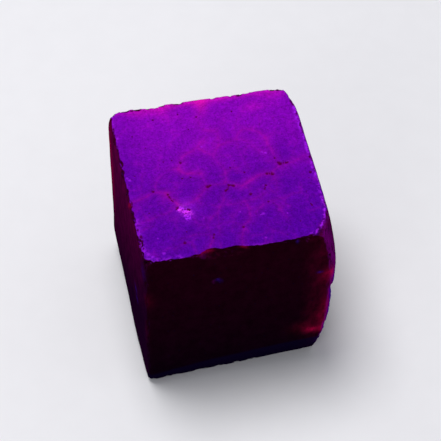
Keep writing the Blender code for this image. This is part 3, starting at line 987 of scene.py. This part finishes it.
def ground_top(shader, paint, mark, noise):
    """The ground top, painted as lit from above by a violet lamp: violet in front, magenta at the back as
    painted light, with veins, painted highlight flecks, the bruise and pits.
    """
    # Painted light: the top grows warmer and lighter towards the back rim, with warmer and cooler patches
    warm = (mark.y + 11.0) / 23.5 + mark.warmth + (noise.drift - 0.5) * 0.16 + (noise.cloud - 0.5) * 0.3
    top = shader.mix(warm.clamped(), paint.violet, paint.magenta)
    top = shader.mix((warm - 1.0).clamped(), top, paint.back_glow)
    top = shader.scaled(top, -0.15 + noise.speck * 1.2 + noise.cloud * 0.3 + noise.dapple * 0.8)

    # The named veins, and faint borders of all the other grains
    strength = noise.fading.ramp(0.3, 0.62) * 0.75 + 0.25
    vein = (mark.vein_gap + (noise.waver - 0.5) * 0.4).bell(0.28) * strength * 0.34
    vein = vein + mark.vein_halo * (0.12 + noise.cloud * 0.24)
    grain_border = shader.cracks(2.6 * MM, 1.2 * MM).ramp(0.16, 0.0) * (noise.cloud.ramp(0.45, 0.65) * 0.12)
    top = shader.mix((vein + grain_border).clamped(), top, paint.vein)

    # Painted highlight flecks, then the bruise with its painted glow and its brightest places as painted
    # highlights, then the pits
    top = shader.mix(shader.spot("lilac_glint", 1.6).ramp(1.6, 0.2) * 0.5, top, paint.lilac_glint)
    # Painted glow round the bruise, and its crushed stone in its own lilac and painted light
    halo = mark.bruise_halo * (noise.crushed.ramp(0.35, 0.7) * 0.7 + 0.3)
    crumbs = noise.crushed.ramp(0.35, 0.6)
    crushed = (mark.bruise + (noise.crushed - 0.5) * 1.4).ramp(0.1, 1.2) * (crumbs + 0.15)
    top = shader.mix(crushed.maximum(halo * 0.55).clamped(), top, paint.lilac_glint)
    # Painted highlights at the bruise's brightest places
    light = mark.bruise_light * (crumbs * 0.9 + 0.15)
    top = shader.mix(light.clamped(), top, paint.bruise)
    return shader.mix(mark.pit.maximum(mark.dots * 0.45) * 0.93, top, paint.pit)


def sawn_sides(shader, paint, mark, noise):
    """The sawn sides, painted as in shade: darker towards the foot, the left one warm and lighter under the
    rim as painted light, the rear ones mottled.
    """
    # Painted shade: darker towards the foot
    side = shader.mix(mark.z / (HEIGHT / MM), paint.side_low, paint.side)
    # Painted light on the left flank: lighter higher up and towards the back, darker near the front corner
    left = ((mark.z - 6.0) / 22.0 + mark.y / 32.0 + (noise.streak - 0.5) * 0.5).clamped()
    left = left * (mark.y.ramp(-10.5, -13.0) * -0.6 + 1.0)
    side = shader.mix(mark.leftness, side, shader.mix(left, paint.flank_low, paint.flank))
    rear_tone = (noise.mottle * 0.9 + noise.dapple * 0.3 + mark.z / 70.0).ramp(0.45, 1.15)
    rear = shader.mix(rear_tone, paint.flank_low, paint.flank)
    fissure = shader.cracks(3.6 * MM, 2.0 * MM).ramp(0.05, 0.0) * noise.mottle.ramp(0.4, 0.6)
    side = shader.mix(mark.rearness, side, shader.mix(fissure * 0.35, rear, paint.foot))

    # The front right corner: wine, then the violet band and its cold crest as painted sheen, and the red
    # that shines through as painted glow
    near_right = ((mark.x - 8.0) / 5.0).clamped() * (noise.streak.ramp(0.3, 0.7) * 0.5 + 0.2)
    side = shader.mix(near_right, side, paint.wine)
    band = mark.band * (noise.streak + noise.dapple - 0.05)
    side = shader.mix(band.clamped(), side, paint.band)
    side = shader.scaled(side, noise.mottle * 1.2 + noise.streak * 0.6 + noise.dapple * 0.2)
    crest = (mark.crest * 1.7 + (noise.streak + noise.dapple) * 1.5 - 2.2).clamped()
    crest_colour = shader.mix(mark.z.ramp(18.0, 20.0), paint.sheen, paint.band)
    side = shader.mix(crest * (noise.streak.ramp(0.2, 0.6) * 0.4 + 0.6), side, crest_colour)
    # Painted red glow where thin edges let the light through
    flame = noise.streak.ramp(0.2, 0.75) * 0.9 + noise.dapple.ramp(0.38, 0.62) * 0.25 + 0.25
    side = shader.mix((mark.glow * (1.0 - crest) * flame).clamped(), side, paint.glow)

    # The bevels at the foot, dark dots and flecks of cold painted sheen
    side = shader.mix(mark.foot * 0.85, side, paint.foot)
    side = shader.mix(mark.dots * 0.5, side, paint.foot)
    return shader.mix(mark.side_fleck * (noise.crushed.ramp(0.3, 0.6) * 0.8 + 0.2), side, paint.cold_sheen)


def worn_and_lit_rims(shader, paint, mark, noise, top, side):
    """Top and sides together: the top in painted light and the sides in painted shade, with the red and
    violet of broken stone and painted highlights along the rims.
    """
    fringe = mark.upness.ramp(0.45, 0.85) * noise.dapple.ramp(0.45, 0.6) * 0.32
    side = shader.mix(fringe, side, paint.worn_red)
    rear_fringe = mark.rearness * mark.upness.ramp(0.05, 0.6) * (noise.dapple.ramp(0.3, 0.6) * 0.5 + 0.4)
    side = shader.mix(rear_fringe, side, paint.worn)
    worn = shader.mix(noise.dapple.ramp(0.35, 0.65), paint.worn_red, paint.worn)
    worn = shader.mix(mark.x.ramp(11.8, 10.3), worn, side)
    top = shader.mix((mark.broken * (0.7 + noise.waver * 0.6)).clamped(), top, worn)
    # Painted light and shade: up-facing places take the lit top's colours, the rest take the shaded sides'
    # colours
    colour = shader.mix(mark.edge, side, top)
    # Painted highlights glinting along the rims of the top
    glint = mark.rim_light * noise.glitter.ramp(0.4, 0.62) * mark.upness.ramp(0.6, 0.85)
    return shader.mix((glint * (1.0 - mark.pit)).clamped(), colour, paint.lilac_glint)


def ruby_material(colours):
    """Massive ruby with painted light: a violet ground top lit from above, with veins, pits and painted
    highlight flecks, and dark wine-red sawn sides in painted shade.
    """
    shader = Shader("ruby")
    paint = SimpleNamespace(**{name: (*getattr(colours, name), 1.0) for name in colours.__annotations__})
    noise = SimpleNamespace(**{name: shader.noise(*settings) for name, settings in NOISES.items()})
    mark = SimpleNamespace(**{name: shader.attribute(name) for name in MARKS})
    separate = shader.node("ShaderNodeSeparateXYZ", {}, {0: shader.place})
    mark.x, mark.y, mark.z = (shader.value(socket) / MM for socket in separate.outputs)
    mark.pit = shader.spot("pit", 0.8).ramp(1.5, 0.35)
    mark.dots = shader.dots(0.7 * MM, 0.14, 0.35)
    raggedness = (noise.waver + noise.dapple - 1.0) * 0.16
    # Share of the top's colours: up-facing places take the top in painted light, the rest the sides in
    # painted shade; it also gives the top its smoother finish
    mark.edge = (mark.upness + mark.rearness * 0.25 + raggedness).ramp(0.76, 0.95)
    mark.edge = mark.edge.maximum(mark.bruise.ramp(0.1, 0.4))

    top = ground_top(shader, paint, mark, noise)
    side = sawn_sides(shader, paint, mark, noise)
    colour = worn_and_lit_rims(shader, paint, mark, noise, top, side)

    rough = 0.9 - mark.edge * 0.4 + (noise.cloud - 0.5) * 0.15 + mark.pit * 0.2
    grain = noise.fine * 0.5 + noise.speck * 0.6
    height = grain + (1.0 - mark.edge) * (noise.mottle * 3.0 + noise.dapple * 1.5) - mark.pit * 1.5
    bump = shader.node("ShaderNodeBump", {}, {"Strength": 0.5, "Distance": 0.02 * MM, "Height": height})
    gloss = mark.edge * (1.0 - mark.pit) * (1.0 - mark.broken) * (noise.cloud * 0.04)

    surface = shader.surface.inputs
    shader.tree.links.new(colour, surface["Base Color"])
    shader.tree.links.new(rough.socket, surface["Roughness"])
    shader.tree.links.new(bump.outputs["Normal"], surface["Normal"])
    shader.tree.links.new(gloss.socket, surface["Coat Weight"])
    surface["Coat Roughness"].default_value = 0.3
    surface["Specular IOR Level"].default_value = 0.0
    return shader.material


class RUBY_OT_block(bpy.types.Operator):
    """Make the block of massive ruby, with its ground top, sawn sides and chipped edges"""

    bl_idname = "ruby.block"
    bl_label = "Ruby block"

    def execute(self, context):
        points, quads, marks = block_surface(context.scene.ruby_block)
        block = new_piece("ruby_block", points, quads, marks)
        block.data.materials.append(ruby_material(context.scene.ruby_colours))
        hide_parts(NODE)
        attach(block, "root")
        return {"FINISHED"}


# --------------------------------------------------
# The stage


# The point the camera is turned to, and how far it is then slid sideways and up
AIM = (-0.489 * MM, -0.273 * MM, 14.2 * MM)
FRAMING = (0.386 * MM, 1.846 * MM)
# The soft lights: where they stand and how wide they are
KEY_PLACE, KEY_SIZE = (-0.06, 0.08, 0.42), 0.22
FILL_PLACE, FILL_SIZE = (-0.30, -0.34, 0.20), 0.30
AIR_COLOUR = (0.92, 0.94, 1.0, 1.0)


def look_axes(stage):
    """The camera's right, up and back directions, from the angles round and above the block."""
    turn, rise = stage.azimuth, stage.elevation
    back = Vector((np.sin(turn) * np.cos(rise), -np.cos(turn) * np.cos(rise), np.sin(rise)))
    right = Vector((np.cos(turn), np.sin(turn), 0.0))
    up = back.cross(right)
    tilt = Matrix.Rotation(stage.roll, 3, back)
    return tilt @ right, tilt @ up, back


def add_camera(stage):
    """The camera, turned to its aim and then slid sideways and up, which places the block in the picture."""
    right, up, back = look_axes(stage)
    place = Vector(AIM) + right * FRAMING[0] + up * FRAMING[1] + back * stage.distance
    data = bpy.data.cameras.new("camera")
    data.lens = stage.lens
    data.sensor_width = 36.0
    data.clip_start = 10.0 * MM
    camera = bpy.data.objects.new("camera", data)
    camera.matrix_world = Matrix.Translation(place) @ Matrix((right, up, back)).transposed().to_4x4()
    bpy.context.scene.collection.objects.link(camera)
    bpy.context.scene.camera = camera


def add_soft_light(name, place, size, power):
    """A round white lamp that looks at the block's middle."""
    data = bpy.data.lights.new(name, "AREA")
    data.shape = "DISK"
    data.size = size
    data.energy = power
    light = bpy.data.objects.new(name, data)
    light.location = place
    light.rotation_euler = (Vector(HEART) - Vector(place)).to_track_quat("-Z", "Y").to_euler()
    bpy.context.scene.collection.objects.link(light)


def add_floor(stage):
    """A plain pale floor with a faint grain."""
    half = stage.floor_size / 2
    corners = np.array(((-half, -half, 0.0), (half, -half, 0.0), (half, half, 0.0), (-half, half, 0.0)))
    floor = new_piece("floor", corners, np.array(((0, 1, 2, 3),)), {})
    shader = Shader("floor")
    tone = shader.noise(4.0 * MM, 3.0) * 0.04 + 0.98
    colour = shader.scaled(tuple(stage.floor_colour), tone)
    shader.tree.links.new(colour, shader.surface.inputs["Base Color"])
    shader.surface.inputs["Roughness"].default_value = 0.8
    shader.surface.inputs["Specular IOR Level"].default_value = 0.2
    floor.data.materials.append(shader.material)


class RUBY_OT_stage(bpy.types.Operator):
    """Make the floor, the lights and the camera"""

    bl_idname = "ruby.stage"
    bl_label = "Studio"

    def execute(self, context):
        stage = context.scene.ruby_stage
        add_camera(stage)
        add_floor(stage)
        add_soft_light("key", KEY_PLACE, KEY_SIZE, stage.key_power)
        add_soft_light("fill", FILL_PLACE, FILL_SIZE, stage.fill_power)
        world = bpy.data.worlds.new("air")
        world.use_nodes = True
        background = world.node_tree.nodes["Background"]
        background.inputs["Color"].default_value = AIR_COLOUR
        background.inputs["Strength"].default_value = stage.air
        context.scene.world = world
        context.scene.view_settings.view_transform = "Standard"
        return {"FINISHED"}


class RUBY_PT_panel(bpy.types.Panel):
    """Buttons that make the block and the studio"""

    bl_idname = "RUBY_PT_panel"
    bl_label = "Ruby cube"
    bl_space_type = "VIEW_3D"
    bl_region_type = "UI"
    bl_category = "Ruby"

    def draw(self, context):
        layout = self.layout
        for operator in OPERATORS:
            layout.operator(operator.bl_idname)
        for settings in (context.scene.ruby_block, context.scene.ruby_colours, context.scene.ruby_stage):
            box = layout.box()
            for name in settings.__annotations__:
                box.prop(settings, name)


OPERATORS = (RUBY_OT_block, RUBY_OT_stage)
SETTINGS = {
    "ruby_block": RubyBlockSettings,
    "ruby_colours": RubyColourSettings,
    "ruby_stage": RubyStageSettings,
}


def register():
    for group in (*SETTINGS.values(), *OPERATORS, RUBY_PT_panel):
        bpy.utils.register_class(group)
    for name, group in SETTINGS.items():
        setattr(bpy.types.Scene, name, PointerProperty(type=group))


def unregister():
    for name in SETTINGS:
        delattr(bpy.types.Scene, name)
    for group in reversed((*SETTINGS.values(), *OPERATORS, RUBY_PT_panel)):
        bpy.utils.unregister_class(group)


def main():
    register()
    bpy.ops.ruby.block()
    bpy.ops.ruby.stage()


if __name__ == "__main__":
    main()
